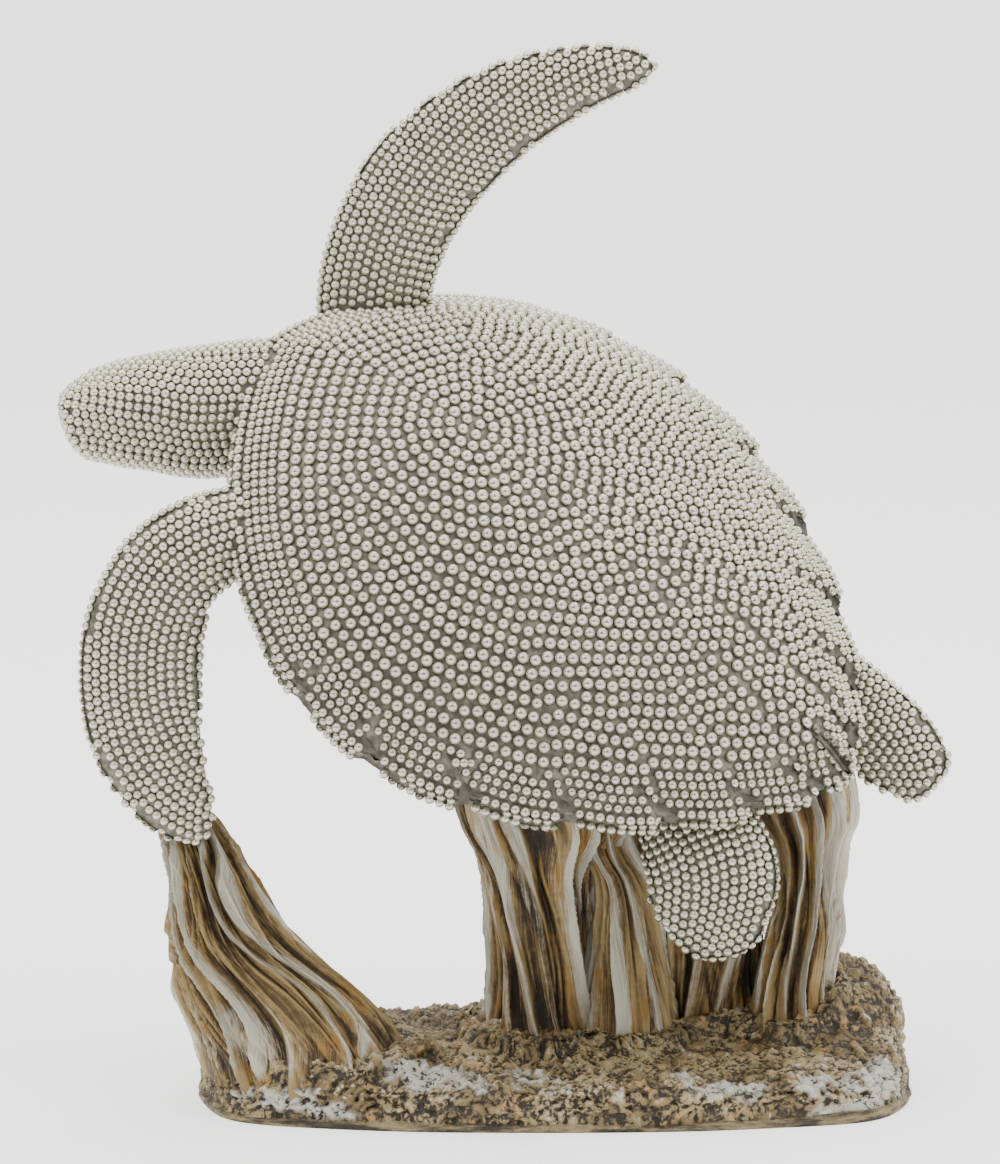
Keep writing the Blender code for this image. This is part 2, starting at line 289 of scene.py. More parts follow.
def scute_share(angle):
    """The place along a marginal scute from 0 to 1, and how strongly the scutes show there."""
    half_turn = np.minimum(angle % math.tau, math.tau - angle % math.tau)
    return (half_turn / math.tau * SCUTES) % 1.0, smooth(half_turn / math.pi * 2.5 - 0.6)


def shell_flat(reach, angle, edge):
    """The flat place of a point of the shell, with the scutes' stepped edge, and its droop."""
    outline = shell_outline(angle)
    apex = np.array([APEX_AT * SHELL_LENGTH / 2.0, 0.0])
    along_scute, strength = scute_share(angle)
    step = SCUTE_STEP * strength * (smooth(along_scute * 1.4) - 0.5)
    outward = unit(outline) * (step * edge)[..., None]
    flat = apex + (outline - apex) * reach[..., None] + outward
    droop = SIDE_DROOP * (outline[..., 1] / SHELL_HALF_WIDTH * reach) ** 2
    return flat, droop


def dome(reach, angle):
    """Points of the shell's back. Each scute lifts a little towards its rear corner."""
    flat, droop = shell_flat(reach, angle, reach ** 8)
    along_scute, strength = scute_share(angle)
    lift = SCUTE_LIFT * strength * (smooth(along_scute * 1.2) - 0.4) * smooth(reach * 8.0 - 6.8)
    height = DOME_HEIGHT * np.maximum(1.0 - reach ** 2, 0.0) ** DOME_POWER
    return np.concatenate([flat, (height - droop + lift)[..., None]], axis=-1)


BELLY_SHARE = 1.0 - BELLY_INSET / SHELL_HALF_WIDTH


def belly(share, angle):
    """Points of the shell's underside, at shares of the way out from the middle to its edge."""
    flat, droop = shell_flat(share * BELLY_SHARE, angle, np.zeros_like(share))
    depth = RIM_THICKNESS + BELLY_DEPTH * np.maximum(1.0 - share ** 2, 0.0) ** BELLY_POWER
    return np.concatenate([flat, -(depth + droop)[..., None]], axis=-1)


def rim(share, angle):
    """Points round the shell's edge, from the back over the edge to the underside."""
    flat, droop = shell_flat(1.0 - 0.005 * share, angle, np.ones_like(share))
    return np.concatenate([flat, -(RIM_THICKNESS * share + droop)[..., None]], axis=-1)


def shell_skin():
    """The shell's painted surface under the beads, as rings from the apex to the belly's middle."""
    angle = np.linspace(0.0, math.tau, 288, endpoint=False)
    rings = []
    depth = []
    for reach in np.sin(np.linspace(0.02, 1.0, 44) * math.pi / 2.0):
        rings.append(dome(np.full_like(angle, reach), angle))
        depth.append(SHELL_SKIN_DEPTH * (1.0 - 0.6 * smooth(reach * 60.0 - 59.0)))
    for share in (0.35, 0.7, 1.0):
        rings.append(rim(np.full_like(angle, share), angle))
        depth.append(SHELL_SKIN_DEPTH * 0.55)
    for share in np.sin(np.linspace(1.0, 0.02, 26) * math.pi / 2.0):
        rings.append(belly(np.full_like(angle, share), angle))
        depth.append(SHELL_SKIN_DEPTH * 0.7)
    rings = np.array(rings)
    return rings - grid_normals(rings) * np.array(depth)[:, None, None]


# Limbs

def rounded_end(share):
    inward = 1.0 - np.clip(share / END_SHARE, 0.0, 1.0)
    return np.sqrt(1.0 - inward ** 2)


def limb_section(stations, way):
    """A limb's middle line and the half axes of its oval section, at shares of its length."""
    here = through(stations, way)
    ahead = through(stations, np.minimum(way + TANGENT_STEP, 1.0))[..., :3]
    behind = through(stations, np.maximum(way - TANGENT_STEP, 0.0))[..., :3]
    tangent = unit(ahead - behind)
    facing = unit(np.array(BLADE_FACING))
    across = unit(np.cross(np.broadcast_to(facing, tangent.shape), tangent))
    thick = np.cross(tangent, across)
    ends = rounded_end(way) * rounded_end(1.0 - way) * SHELL_LENGTH
    return here[..., :3] * SHELL_LENGTH, across * (here[..., 3] * ends)[..., None], \
        thick * (here[..., 4] * ends)[..., None]


def limb_points(section, turn):
    middle, across, thick = section
    return middle[:, None] + across[:, None] * np.cos(turn)[..., None] \
        + thick[:, None] * np.sin(turn)[..., None]


def limb_skin(stations, depth):
    way = 0.5 - 0.5 * np.cos(np.linspace(0.02, 0.98, 46) * math.pi)
    turn = np.linspace(0.0, math.tau, 48, endpoint=False)
    rings = limb_points(limb_section(stations, way), turn[None, :])
    return rings - grid_normals(rings) * depth


# Beads

def along_line(points, pitch, phase, closed=False):
    """Places at a pitch along a line of points."""
    run = np.concatenate([[0.0], np.cumsum(np.linalg.norm(np.diff(points, axis=0), axis=1))])
    if closed:
        count = max(1, round(run[-1] / pitch))
        at = (np.arange(count) + phase) * run[-1] / count
    else:
        at = np.arange(phase * pitch, run[-1], pitch)
    return np.stack([np.interp(at, run, points[:, axis]) for axis in range(3)], axis=1)


def keep_apart(points, spacing):
    """The points in order, without those that are nearer than the spacing to one before."""
    cells = {}
    kept = []
    for index, point in enumerate(points):
        cell = tuple(int(math.floor(value / spacing)) for value in point)
        near = False
        for dx in (-1, 0, 1):
            for dy in (-1, 0, 1):
                for dz in (-1, 0, 1):
                    for other in cells.get((cell[0] + dx, cell[1] + dy, cell[2] + dz), ()):
                        gap = points[other] - point
                        if gap @ gap < spacing * spacing:
                            near = True
        if not near:
            cells.setdefault(cell, []).append(index)
            kept.append(index)
    return points[kept]


def bead_template(sides):
    """A bead of radius 1 over a base a little under the surface: points, faces and heights."""
    points = [(0.0, 0.0, 1.0 + BEAD_LIFT)]
    for polar in (34.0, 64.0, 97.0):
        for step in range(sides):
            turn = (step + 0.5 * (polar == 64.0)) / sides * math.tau
            flat = math.sin(math.radians(polar))
            points.append((flat * math.cos(turn), flat * math.sin(turn),
                           math.cos(math.radians(polar)) + BEAD_LIFT))
    faces = []
    for step in range(sides):
        after = (step + 1) % sides
        faces.append((0, 1 + step, 1 + after))
        for ring in (1, 1 + sides):
            faces.append((ring + step, ring + sides + step, ring + sides + after, ring + after))
    faces.append(tuple(range(3 * sides, 2 * sides, -1)))
    return np.array(points), faces


def bead_piece(name, places, normals, radius, material, rng, sides=BEAD_SIDES, painted_light_lift=0.0):
    """One piece of closed beads, each on its place along its normal, with painted light and shade in
    their silver.
    """
    shape, faces = bead_template(sides)
    count = len(places)
    helper = np.where(np.abs(normals[:, 2:]) < 0.9, [[0.0, 0.0, 1.0]], [[1.0, 0.0, 0.0]])
    first = unit(np.cross(normals, helper))
    second = np.cross(normals, first)
    turn = rng.uniform(0.0, math.tau, count)[:, None]
    first, second = first * np.cos(turn) + second * np.sin(turn), \
        second * np.cos(turn) - first * np.sin(turn)
    radii = radius * rng.uniform(0.95, 1.04, count)[:, None, None]
    axes = np.stack([first, second, normals], axis=1)
    points = places[:, None] + radii * np.einsum("pk,bkx->bpx", shape, axes)
    flat = [index for face in faces for index in face]
    totals = np.array([len(face) for face in faces])
    offsets = np.arange(count)[:, None] * len(shape)
    mesh = bpy.data.meshes.new(name)
    mesh.vertices.add(count * len(shape))
    mesh.vertices.foreach_set("co", points.astype(np.float32).ravel())
    mesh.loops.add(count * len(flat))
    mesh.loops.foreach_set("vertex_index", (np.array(flat)[None] + offsets).ravel())
    mesh.polygons.add(count * len(faces))
    starts = np.concatenate([[0], np.cumsum(np.tile(totals, count))[:-1]])
    mesh.polygons.foreach_set("loop_start", starts)
    mesh.update(calc_edges=True)
    mesh.shade_smooth()
    rise = np.clip((shape[:, 2] + 0.1) / (1.0 + BEAD_LIFT), 0.0, 1.0)
    add_values(mesh, "rise", np.tile(rise, count))
    # Painted light and shade: beads that face up get paler silver and beads that face down get darker
    # silver. The lift argument makes a whole piece paler as painted light, and a random tone comes on
    # top.
    facing = smooth((normals[:, 2] + 0.05) / 0.95)
    tone_and_painted_shade = np.clip(painted_light_lift + 0.70 * facing + rng.uniform(0.0, 0.28, count), 0.0, 1.0)
    add_values(mesh, "tone_and_painted_shade", np.repeat(tone_and_painted_shade, len(shape)))
    mesh.materials.append(material)
    obj = bpy.data.objects.new(name, mesh)
    bpy.context.scene.collection.objects.link(obj)
    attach(obj, "root")
    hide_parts("turtle")
    return obj


PROBE = Vector((0.36, -0.48, 0.80))


class Form:
    """One of the turtle's forms: its skin in the world and a tree that finds places on it."""

    def __init__(self, name, rings):
        self.name = name
        self.points, self.faces = closed_form(in_world(rings))
        self.tree = BVHTree.FromPolygons([Vector(p) for p in self.points], self.faces)
        self.low = self.points.min(axis=0)
        self.high = self.points.max(axis=0)

    def seat(self, places):
        """The nearest places on the skin, and the normals there."""
        found = [self.tree.find_nearest(Vector(place)) for place in places]
        return np.array([hit[0] for hit in found]), np.array([hit[1] for hit in found])

    def holds(self, place, margin):
        """Whether a place is inside the form or nearer to its skin than the margin."""
        if np.any(place < self.low - margin) or np.any(place > self.high + margin):
            return False
        start = Vector(place)
        if self.tree.find_nearest(start, margin)[0] is not None:
            return True
        crossings = 0
        hit = self.tree.ray_cast(start, PROBE)[0]
        while hit is not None:
            crossings += 1
            hit = self.tree.ray_cast(hit + PROBE * 1e-6, PROBE)[0]
        return crossings % 2 == 1


def tree_of(places):
    tree = KDTree(len(places))
    for index, place in enumerate(places):
        tree.insert(place, index)
    tree.balance()
    return tree


def outside(places, others, clear):
    """The places that are clear of the other forms."""
    return places[[not any(other.holds(place, clear) for other in others) for place in places]]


def spread(form, places, pitch, push_reach, fixed, fixed_pitch):
    """The places after they have pushed each other evenly apart over the form's skin."""
    count = len(places)
    pitches = np.concatenate([np.full(count, pitch), fixed_pitch])
    for round_index in range(SPREAD_PASSES):
        every = np.concatenate([places, fixed])
        if round_index % 3 == 0:
            tree = tree_of(every)
            pairs = [(index, near[1]) for index, place in enumerate(places)
                     for near in tree.find_range(place, pitch * 1.6) if near[1] != index]
            first, second = np.array(pairs).T
        gap = every[first] - every[second]
        distance = np.maximum(np.linalg.norm(gap, axis=1), 1e-6)
        reach = (pitches[first] + pitches[second]) / 2.0 * push_reach
        force = np.maximum(1.0 - distance / reach, 0.0) * reach / distance
        push = np.zeros((count, 3))
        np.add.at(push, first, gap * force[:, None])
        length = np.maximum(np.linalg.norm(push, axis=1, keepdims=True), 1e-9)
        push *= np.minimum(0.30, pitch * 0.16 / length)
        places = form.seat(places + push)[0]
    return places


class Beadwork:
    """The turtle's beads so far, which the next ones keep clear of."""

    def __init__(self):
        self.places = np.zeros((0, 3))
        self.pitches = np.zeros(0)

    def near(self, form, reach):
        """The beads so far in the form's box, and their pitches."""
        inside = np.all((self.places > form.low - reach) & (self.places < form.high + reach), axis=1)
        return self.places[inside], self.pitches[inside]

    def clear_of_beads(self, places, pitch, share):
        """The places that are at least a share of the pitch away from the beads so far."""
        if not len(self.places):
            return places
        tree = tree_of(self.places)
        open_places = []
        for index, place in enumerate(places):
            _, found, distance = tree.find(place)
            if distance > (pitch + self.pitches[found]) / 2.0 * share:
                open_places.append(index)
        return places[open_places]

    def lay(self, form, others, rows, pitch, clear, spare=None, push_reach=PUSH_REACH, hole=SHELL_HOLE):
        """Rows of places seated on a form, with holes filled from spare places, and evened out."""
        places = outside(form.seat(in_world(np.concatenate(rows)))[0], others, clear)
        places = self.clear_of_beads(keep_apart(places, pitch * 0.74), pitch, 0.74)
        if spare is not None:
            filling = outside(form.seat(in_world(spare))[0], others, clear)
            filling = self.clear_of_beads(filling, pitch, hole)
            tree = tree_of(places)
            holes = [place for place in filling if tree.find(place)[2] > pitch * hole]
            if holes:
                holes = sorted(holes, key=lambda place: -tree.find(place)[2])
                places = np.concatenate([places, keep_apart(np.array(holes), pitch * hole)])
            fixed, fixed_pitch = self.near(form, pitch * 2.0)
            places = spread(form, places, pitch, push_reach, fixed, fixed_pitch)
            places = outside(places, others, clear * 0.6)
            places = self.clear_of_beads(keep_apart(places, pitch * 0.66), pitch, 0.66)
        self.places = np.concatenate([self.places, places])
        self.pitches = np.concatenate([self.pitches, np.full(len(places), pitch)])
        return form.seat(places)


HALF_STEPS = 360


class Meridians:
    """Lines over a side of the shell, from its apex to its edge, on which places are found."""

    def __init__(self, surface):
        self.surface = surface
        self.angle = np.linspace(0.0, math.pi, HALF_STEPS + 1)
        self.reach = np.sin(np.linspace(0.0, 1.0, 240) * math.pi / 2.0)
        reach, angle = np.meshgrid(self.reach, self.angle)
        points = surface(reach, angle)
        steps = np.linalg.norm(np.diff(points, axis=1), axis=2)
        self.run = np.concatenate([np.zeros((len(self.angle), 1)), np.cumsum(steps, axis=1)], axis=1)
        self.length = self.run[:, -1]

    def line(self, distances, steps, side):
        """Points at distances from the apex on the meridians of these steps, on one side."""
        reach = np.array([np.interp(distance, self.run[step], self.reach)
                          for distance, step in zip(distances, steps)])
        angle = self.angle[steps]
        return self.surface(reach, angle if side > 0 else math.tau - angle)

    def place(self, inward, angle, side):
        """The point a distance in from the edge at an angle from the front, on one side."""
        step = int(round(angle / math.pi * HALF_STEPS))
        reach = np.interp(self.length[step] - inward, self.run[step], self.reach)
        turned = angle if side > 0 else math.tau - angle
        return self.surface(np.array([reach]), np.array([turned]))[0]


def ring_rows(meridians, margin, pitch, row_pitch, rng):
    """Rings of beads round the apex, at one pitch. Some rows end where the shell gets shorter."""
    length = meridians.length - margin
    rows_at = length / row_pitch
    most = int(round(rows_at.max()))
    fewest = int(round(rows_at[0]))
    ending = rng.permutation(np.arange(6, most - 2))[:most - fewest]
    starts = np.zeros((2, most))
    for place, row in enumerate(ending):
        step = np.argmax(rows_at > fewest + place + 0.5)
        starts[:, row] = np.clip(step + rng.uniform(-9.0, 9.0, 2), 2.0, HALF_STEPS - 20.0)
    steps = np.arange(HALF_STEPS + 1)
    lines = []
    for side in range(2):
        fade = (steps[None] - starts[side][:, None]) / 26.0 + 0.5
        weight = np.where(starts[side][:, None] > 0.0, smooth(fade), 1.0)
        before = np.cumsum(weight, axis=0) - weight / 2.0
        lines.append(before / weight.sum(axis=0) * length)
    rows = []
    for row in range(most):
        first = [int(starts[side][row]) for side in range(2)]
        left = steps[first[0]:]
        right = steps[first[1]:-1][::-1]
        points = np.concatenate([
            meridians.line(lines[0][row][left], left, 1),
            meridians.line(lines[1][row][right], right, -1),
        ])
        closed = starts[0][row] == 0.0
        if closed:
            points = np.concatenate([points, points[:1]])
        rows.append(along_line(points, pitch, rng.uniform(0.1, 0.9), closed))
    return rows


def spare_places(meridians, margin, gap):
    """Places all over a side of the shell but for its margin, from which holes are filled."""
    spare = []
    steps = np.arange(HALF_STEPS + 1)
    for distance in np.arange(gap, meridians.length.max() - margin, gap):
        inside = steps[meridians.length - margin > distance]
        for side in (1, -1):
            line = meridians.line(np.full(len(inside), distance), inside, side)
            spare.append(along_line(line, gap, 0.5))
    return np.concatenate(spare)


def slit_corners(side):
    """Angles from the front of the corners between marginal scutes, and how long each slit is."""
    for corner in np.arange(math.tau / SCUTES, math.pi, math.tau / SCUTES):
        strength = float(smooth(corner / math.pi * 2.5 - 0.6))
        if strength > 0.15 and (side > 0 or corner > RIGHT_SLITS_FROM):
            yield corner, SLIT_LENGTH * strength


def in_slit(half_angle, inward, rim_run, angles, side):
    """Whether a place near the edge is in a slit between two marginal scutes."""
    run = np.interp(half_angle, angles, rim_run)
    for corner, length in slit_corners(side):
        if length <= inward:
            continue
        share = 1.0 - inward / length
        past = run - np.interp(corner, angles, rim_run) + SLIT_SLANT * (1.0 - share)
        if -0.0008 < past < SLIT_WIDTH * share + 0.0008:
            return True
    return False


def edge_run(meridians):
    """How far along the shell's edge each meridian ends."""
    edge = meridians.surface(np.ones(HALF_STEPS + 1), meridians.angle)
    return np.concatenate([[0.0], np.cumsum(np.linalg.norm(np.diff(edge, axis=0), axis=1))])


def slit_piece(form, meridians, material):
    """The smooth dark bottoms of the slits: slanting wedges that are widest at the shell's edge."""
    rim_run = edge_run(meridians)
    points = []
    faces = []
    for side in (1, -1):
        for corner, length in slit_corners(side):
            rows = []
            for share in np.linspace(0.04, 1.0, 7):
                inward = length * (1.0 - share)
                start = np.interp(corner, meridians.angle, rim_run) - SLIT_SLANT * (1.0 - share)
                for past in (0.0, 0.5, 1.0):
                    at = np.interp(start + SLIT_WIDTH * share * past, rim_run, meridians.angle)
                    rows.append(meridians.place(inward, at, side))
            seated, normals = form.seat(in_world(np.array(rows)))
            raised = np.tile([0.00075, 0.00020, 0.00055], 7)[:, None]
            first = len(points)
            points += list(seated + normals * raised) + list(seated - normals * 0.0009)
            turn = 1 if side > 0 else -1
            wedge = []
            for row in range(6):
                for lane in range(2):
                    a = row * 3 + lane
                    wedge.append((a, a + 1, a + 4, a + 3))
                    wedge.append((a + 21, a + 24, a + 25, a + 22))
                wedge.append((row * 3, row * 3 + 3, row * 3 + 24, row * 3 + 21))
                wedge.append((row * 3 + 2, row * 3 + 23, row * 3 + 26, row * 3 + 5))
            for end in (0, 18):
                for lane in range(2):
                    a = end + lane
                    strip = (a, a + 21, a + 22, a + 1)
                    wedge.append(strip if end == 0 else strip[::-1])
            faces += [tuple(first + index for index in face[::turn]) for face in wedge]
    make_piece("scute_slits", points, faces, material, "turtle")


def rim_rows(meridians, rng):
    """Rows of small beads along the shell's edge, broken by the slits between the scutes."""
    rim_run = edge_run(meridians)
    steps = np.arange(HALF_STEPS + 1)
    rows = []
    for row in (*range(RIM_ROWS), -1, -2):
        inward = (row + 0.5) * RIM_PITCH
        for side in (1, -1):
            if row < 0:
                angle = meridians.angle if side > 0 else math.tau - meridians.angle
                points = rim(np.full(HALF_STEPS + 1, -0.54 * row - 0.20), angle)
            else:
                points = meridians.line(meridians.length - inward, steps, side)
            placed = along_line(points, RIM_PITCH, rng.uniform(0.1, 0.9))
            own = np.concatenate([[0.0], np.cumsum(np.linalg.norm(np.diff(points, axis=0), axis=1))])
            half_angle = np.interp(np.linspace(0.0, own[-1], len(placed)), own, meridians.angle)
            keep = [not in_slit(angle, max(inward, 0.0), rim_run, meridians.angle, side)
                    for angle in half_angle]
            rows.append(placed[keep])
    return rows


def limb_rows(stations, pitch, row_pitch, lead, rng):
    """Rows along a limb, from its leading edge across: its upper face first, then its lower face."""
    way = np.linspace(0.004, 0.996, 360)
    section = limb_section(stations, way)
    rows = []
    faces = (1.0, -1.0) if lead == 0.0 else (-1.0, 1.0)
    for face, start in zip(faces, (0.20, 1.00)):
        turn = lead + face * np.linspace(0.0, math.pi, 60)
        grid = limb_points(section, turn[None, :])
        steps = np.linalg.norm(np.diff(grid, axis=1), axis=2)
        run = np.concatenate([np.zeros((len(way), 1)), np.cumsum(steps, axis=1)], axis=1)
        distances = [np.full(len(way), (row + start) * row_pitch)
                     for row in range(int(run[:, -1].max() / row_pitch))]
        distances.append(run[:, -1] - 0.32 * row_pitch)
        for across in distances:
            inside = np.nonzero((run[:, -1] > across) & (across > 0.0))[0]
            if len(inside) < 2:
                continue
            at = np.array([np.interp(across[step], run[step], turn) for step in inside])
            part = [values[inside] for values in section]
            line = limb_points(part, at[:, None])[:, 0]
            rows.append(along_line(line, pitch, rng.uniform(0.2, 0.8)))
    return rows


def limb_spare(stations):
    """Places all over a limb, from which holes in its rows are filled."""
    way = np.linspace(0.004, 0.996, 130)
    turn = np.linspace(0.0, math.tau, 56, endpoint=False)
    return limb_points(limb_section(stations, way), turn[None, :]).reshape(-1, 3)


# Materials

def new_material(name):
    material = bpy.data.materials.new(name)
    material.use_nodes = True
    tree = material.node_tree
    return material, tree, tree.nodes["Principled BSDF"]


def value_named(tree, name):
    node = tree.nodes.new("ShaderNodeAttribute")
    node.attribute_name = name
    return node


def mixed(tree, factor, first, second):
    """A colour between two colours or sockets."""
    node = tree.nodes.new("ShaderNodeMix")
    node.data_type = 'RGBA'
    tree.links.new(factor, node.inputs["Factor"])
    for socket, colour in ((node.inputs[6], first), (node.inputs[7], second)):
        if isinstance(colour, tuple):
            socket.default_value = (*colour, 1.0)
        else:
            tree.links.new(colour, socket)
    return node.outputs[2]


def ranged(tree, value, low, high, to_low=0.0, to_high=1.0):
    node = tree.nodes.new("ShaderNodeMapRange")
    node.interpolation_type = 'SMOOTHSTEP'
    tree.links.new(value, node.inputs["Value"])
    for name, number in (("From Min", low), ("From Max", high), ("To Min", to_low), ("To Max", to_high)):
        node.inputs[name].default_value = number
    return node.outputs["Result"]


def mottle(tree, scale, detail=4.0, vector=None, roughness=0.55):
    node = tree.nodes.new("ShaderNodeTexNoise")
    node.inputs["Scale"].default_value = scale
    node.inputs["Detail"].default_value = detail
    node.inputs["Roughness"].default_value = roughness
    if vector is None:
        vector = tree.nodes.new("ShaderNodeTexCoord").outputs["Object"]
    tree.links.new(vector, node.inputs["Vector"])
    return node.outputs["Fac"]


def combined(tree, operation, first, second):
    node = tree.nodes.new("ShaderNodeMath")
    node.operation = operation
    for socket, value in zip(node.inputs, (first, second)):
        if isinstance(value, float):
            socket.default_value = value
        else:
            tree.links.new(value, socket)
    return node.outputs[0]


def weighted(tree, *terms):
    """The sum of values, each multiplied by its weight."""
    total = None
    for value, weight in terms:
        part = value if weight == 1.0 else combined(tree, 'MULTIPLY', value, weight)
        total = part if total is None else combined(tree, 'ADD', total, part)
    return total


def bumped(tree, shader, height, strength, distance):
    node = tree.nodes.new("ShaderNodeBump")
    node.inputs["Strength"].default_value = strength
    node.inputs["Distance"].default_value = distance
    tree.links.new(height, node.inputs["Height"])
    tree.links.new(node.outputs["Normal"], shader.inputs["Normal"])


# The beads' silver runs from a darker painted-shade silver for beads that face down to a paler
# painted-light silver for beads that face up.
BEAD_SHADED_SILVER = (0.40, 0.387, 0.298)
BEAD_LIT_SILVER = (0.655, 0.636, 0.51)
BEAD_WASH = (0.17, 0.16, 0.118)


def bead_material():
    """Champagne silver, darker as painted shade on beads that face down and paler as painted light on
    those that face up, down to the bead's foot, where the wash lies.
    """
    material, tree, shader = new_material("beaded_silver_beads")
    tone_and_painted_shade = value_named(tree, "tone_and_painted_shade").outputs["Fac"]
    rise = value_named(tree, "rise").outputs["Fac"]
    silver = mixed(tree, tone_and_painted_shade, BEAD_SHADED_SILVER, BEAD_LIT_SILVER)
    grain = mottle(tree, 900.0)
    edge = weighted(tree, (rise, 1.0), (grain, 0.20))
    colour = mixed(tree, ranged(tree, edge, 0.12, 0.40), BEAD_WASH, silver)
    tree.links.new(colour, shader.inputs["Base Color"])
    shader.inputs["Roughness"].default_value = 0.18
    shader.inputs["Metallic"].default_value = 0.70
    return material


def slit_material():
    """Smooth olive grey wash in the slits between the marginal scutes."""
    material, tree, shader = new_material("beaded_silver_slits")
    spots = mottle(tree, 300.0)
    colour = mixed(tree, ranged(tree, spots, 0.35, 0.70), (0.060, 0.058, 0.044), (0.13, 0.125, 0.098))
    tree.links.new(colour, shader.inputs["Base Color"])
    shader.inputs["Metallic"].default_value = 0.30
    shader.inputs["Roughness"].default_value = 0.45
    return material


def wash_material():
    """The grey-brown wash that lies between the beads."""
    material, tree, shader = new_material("beaded_silver_wash")
    spots = mottle(tree, 420.0)
    colour = mixed(tree, ranged(tree, spots, 0.35, 0.70), (0.078, 0.073, 0.053), (0.215, 0.203, 0.153))
    tree.links.new(colour, shader.inputs["Base Color"])
    shader.inputs["Metallic"].default_value = 0.35
    shader.inputs["Roughness"].default_value = 0.48
    bumped(tree, shader, spots, 0.5, 0.0004)
    return material


# Rock and stalks

def rock_top(x, y):
    """The rock's height at places, as the solids have it but for their ripples."""
    back_share = smooth((y + ROCK_DEPTH / 2.0) / ROCK_DEPTH)
    height = ROCK_FRONT_HEIGHT + (ROCK_BACK_HEIGHT - ROCK_FRONT_HEIGHT) * back_share
    to_right = (x / ROCK_LENGTH - MOUND_RIGHT) / MOUND_SPREAD_RIGHT
    to_back = (y / ROCK_DEPTH - MOUND_BACK) / MOUND_SPREAD_BACK
    return height + MOUND_HEIGHT * np.exp(-(to_right ** 2) - to_back ** 2)


def rock_outline(angle):
    """The rock's outline: a long oval with blunt ends and a slightly wavy edge."""
    wave = 1.0 + 0.018 * np.sin(3.0 * angle + 0.5) + 0.012 * np.sin(7.0 * angle)
    x = np.sign(np.cos(angle)) * np.abs(np.cos(angle)) ** 0.62
    y = np.sign(np.sin(angle)) * np.abs(np.sin(angle)) ** 0.50
    return np.stack([x * ROCK_LENGTH / 2.0 * wave, y * ROCK_DEPTH / 2.0 * wave], axis=-1)


def even_outline(around):
    """Points evenly spaced round the rock's outline."""
    angle = np.linspace(0.0, math.tau, 4000)
    line = rock_outline(angle)
    run = np.concatenate([[0.0], np.cumsum(np.linalg.norm(np.diff(line, axis=0), axis=1))])
    at = np.linspace(0.0, run[-1], around, endpoint=False)
    return np.stack([np.interp(at, run, line[:, axis]) for axis in range(2)], axis=1)


def crust(point):
    """The rock's lumps at a point, and the finer crust on them with its pits, curls and cracks."""
    place = Vector(point)
    bent = place * 225.0 + noise.noise_vector(place * 170.0) * 1.1
    near = noise.voronoi(bent)[0]
    cell = min(1.0, (near[1] - near[0]) * 1.7)
    curls = 1.0 - 2.6 * abs(noise.noise(place * 430.0 + Vector((3.0, 1.0, 7.0))))
    small = noise.noise(place * 820.0)
    lumps = noise.noise(place * 42.0) + 0.6 * noise.noise(place * 105.0)
    return 1.05 * lumps - 0.30, 0.92 * cell + 0.38 * curls + 0.34 * small - 0.66


CRUST_HEIGHT = 0.0017

# Where whitish paint is rubbed over the crust: right, back, up and the half sizes, in rock lengths
CHALK = [
    (-0.405, -0.260, 0.034, 0.085, 0.060, 0.020),
    (-0.330, -0.262, 0.022, 0.050, 0.060, 0.014),
    (-0.160, -0.215, 0.078, 0.075, 0.050, 0.030),
    (-0.035, -0.200, 0.082, 0.060, 0.045, 0.026),
    (0.245, -0.240, 0.068, 0.045, 0.045, 0.024),
    (0.180, -0.200, 0.085, 0.035, 0.030, 0.024),
    (0.395, -0.235, 0.060, 0.055, 0.070, 0.022),
    (0.470, -0.150, 0.050, 0.040, 0.070, 0.036),
    (0.440, -0.240, 0.022, 0.060, 0.080, 0.012),
]
FOOT_BANK = 0.0045


def foot_bank(x, y):
    """How high the crust is banked up round the stalks' feet, from 0 to 1."""
    bank = np.zeros_like(x)
    for stalk in STALKS:
        _, _, _, half_width, half_depth = stalk.stations[0]
        right = (x / ROCK_LENGTH - stalk.foot[0]) / half_width
        back = (y / ROCK_LENGTH - stalk.foot[1]) / half_depth
        rough = np.array([noise.noise(Vector((a * 130.0, b * 130.0, 5.0))) for a, b in zip(x, y)])
        bank = np.maximum(bank, smooth((1.38 + 0.35 * rough - np.hypot(right, back)) / 0.30))
    return bank


def chalk_share(point):
    """How much whitish paint is rubbed over a point of the rock, from 0 to 1."""
    rough = noise.noise(Vector(point) * 190.0) + 0.6 * noise.noise(Vector(point) * 420.0)
    nearest = min(math.hypot(*((value / ROCK_LENGTH - middle) / half
                               for value, middle, half in zip(point, patch[:3], patch[3:])))
                  for patch in CHALK)
    return float(smooth((1.15 + 0.8 * rough - nearest) / 0.40))


